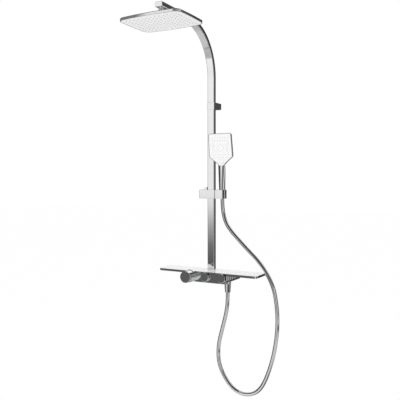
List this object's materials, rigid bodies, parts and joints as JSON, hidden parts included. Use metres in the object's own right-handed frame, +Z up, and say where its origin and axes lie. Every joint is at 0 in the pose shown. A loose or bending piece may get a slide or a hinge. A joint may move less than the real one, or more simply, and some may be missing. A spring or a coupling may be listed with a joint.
{
  "type": "thermostatic shower column",
  "caption": "Wall-mounted shower column: bent flat riser with a rectangular rain head, a hand shower in a sliding tilting holder, a hose, and a shelf with a thermostatic mixer under it.",
  "frame": {"origin": "on the wall, at the centre of the upper bracket's two screw holes", "axes": "+X to the user's right, +Y into the wall, +Z up; the wall is the plane Y = 0"},
  "size_m": [0.543, 0.5745, 1.5519],
  "materials": {
    "chrome": "polished",
    "chromed_plastic": "polished",
    "white_plastic": "satin",
    "white_glass": "polished",
    "brass": "machined",
    "steel": "brushed",
    "rubber": "matte",
    "grey_rubber": "matte",
    "matte_plastic": "matte",
    "silver_hose": "satin silver"
  },
  "bodies": {
    "column": {"riser_tube": "chrome", "arm_tube": "chrome", "joint_sleeve": "matte_plastic", "arm_end_cap": "chrome", "arm_outlet": "chrome", "ball_joint": "chrome", "wall_bracket": "chrome", "bracket_base": "brass", "bracket_grub_screw": "steel", "riser_spigot": "brass", "shelf_tray": "chrome", "shelf_glass": "white_glass", "shelf_screws": "steel", "valve_body": "brass", "thermostat_cartridge": "brass", "head_valve": "brass", "hand_valve": "brass", "cartridge_nuts": "brass", "hose_outlet": "chrome", "hose_nut_lower": "chrome", "hose_washer": "rubber", "hose": "silver_hose", "eccentric_unions": "brass", "union_nuts": "chrome", "inlet_filters": "rubber", "check_valves": "matte_plastic", "casing": "chromed_plastic", "front_plate": "chrome", "side_cover_left": "chromed_plastic", "side_cover_right": "chromed_plastic", "knob_ring": "chrome"},
    "swivel_seat": {"ball_seat": "matte_plastic"},
    "rain_head": {"head_shell": "chrome", "head_face": "white_plastic", "head_nozzles": "grey_rubber", "nozzle_mat": "grey_rubber", "ball_nut": "chrome"},
    "slider": {"slider_body": "chrome", "lever_pin": "steel"},
    "lever": {"release_lever": "chrome"},
    "pad": {"clamp_pad": "matte_plastic"},
    "holder": {"cradle": "chromed_plastic", "pivot_screw": "steel", "friction_washer": "matte_plastic"},
    "handset": {"handset_shell": "chromed_plastic", "handset_face": "white_plastic", "handset_nozzles": "grey_rubber", "handset_inlet": "brass", "handset_washer": "rubber", "hose_cone_nut": "chrome"},
    "mode_button": {"mode_button": "chrome"},
    "knob": {"thermostat_knob": "chromed_plastic", "knob_cap": "chromed_plastic"},
    "safety_button": {"safety_button": "chrome"},
    "head_button": {"head_button": "chrome"},
    "hand_button": {"hand_button": "chrome"}
  },
  "joints": [
    {"name": "slider_slide", "type": "slide", "parent": "column", "child": "slider", "axis": [0, 0, 1], "range_m": [-0.24, 0.22], "deforming": ["hose"]},
    {"name": "lever_press", "type": "hinge", "parent": "slider", "child": "lever", "pos_m": [-0.039, -0.064, -0.371], "axis": [0, 1, 0], "range_deg": [0, 5], "stiffness_Nm_per_rad": 0.6, "springref_deg": -8.59},
    {"name": "pad_release", "type": "slide", "parent": "slider", "child": "pad", "axis": [-1, 0, 0], "range_m": [0, 0.00105]},
    {"name": "holder_tilt", "type": "hinge", "parent": "slider", "child": "holder", "pos_m": [0.029, -0.059, -0.385], "axis": [1, 0, 0], "range_deg": [0, 30]},
    {"name": "handset_lift", "type": "slide", "parent": "holder", "child": "handset", "axis": [0, -0.0349, 0.9994], "range_m": [0, 0.06]},
    {"name": "mode_press", "type": "slide", "parent": "handset", "child": "mode_button", "axis": [0, 0.9903, 0.1392], "range_m": [0, 0.002], "stiffness_N_per_m": 400, "springref_m": -0.003},
    {"name": "thermostat_turn", "type": "hinge", "parent": "column", "child": "knob", "pos_m": [-0.0534, -0.178, -0.7305], "axis": [0, 1, 0], "range_deg": [-60, 170]},
    {"name": "safety_press", "type": "slide", "parent": "knob", "child": "safety_button", "axis": [0, 0, -1], "range_m": [0, 0.002], "stiffness_N_per_m": 300, "springref_m": -0.003},
    {"name": "head_press", "type": "slide", "parent": "column", "child": "head_button", "axis": [0, 1, 0], "range_m": [0, 0.0025], "stiffness_N_per_m": 600, "springref_m": -0.004},
    {"name": "hand_press", "type": "slide", "parent": "column", "child": "hand_button", "axis": [0, 1, 0], "range_m": [0, 0.0025], "stiffness_N_per_m": 600, "springref_m": -0.004},
    {"name": "head_tilt_x", "type": "hinge", "parent": "column", "child": "swivel_seat", "pos_m": [0, -0.46, 0.2845], "axis": [1, 0, 0], "range_deg": [-15, 15]},
    {"name": "head_tilt_y", "type": "hinge", "parent": "swivel_seat", "child": "rain_head", "pos_m": [0, -0.46, 0.2845], "axis": [0, 1, 0], "range_deg": [-15, 15]}
  ],
  "couplings": [
    {"joint": "pad_release", "follows": "lever_press", "m_per_rad": 0.01146}
  ]
}
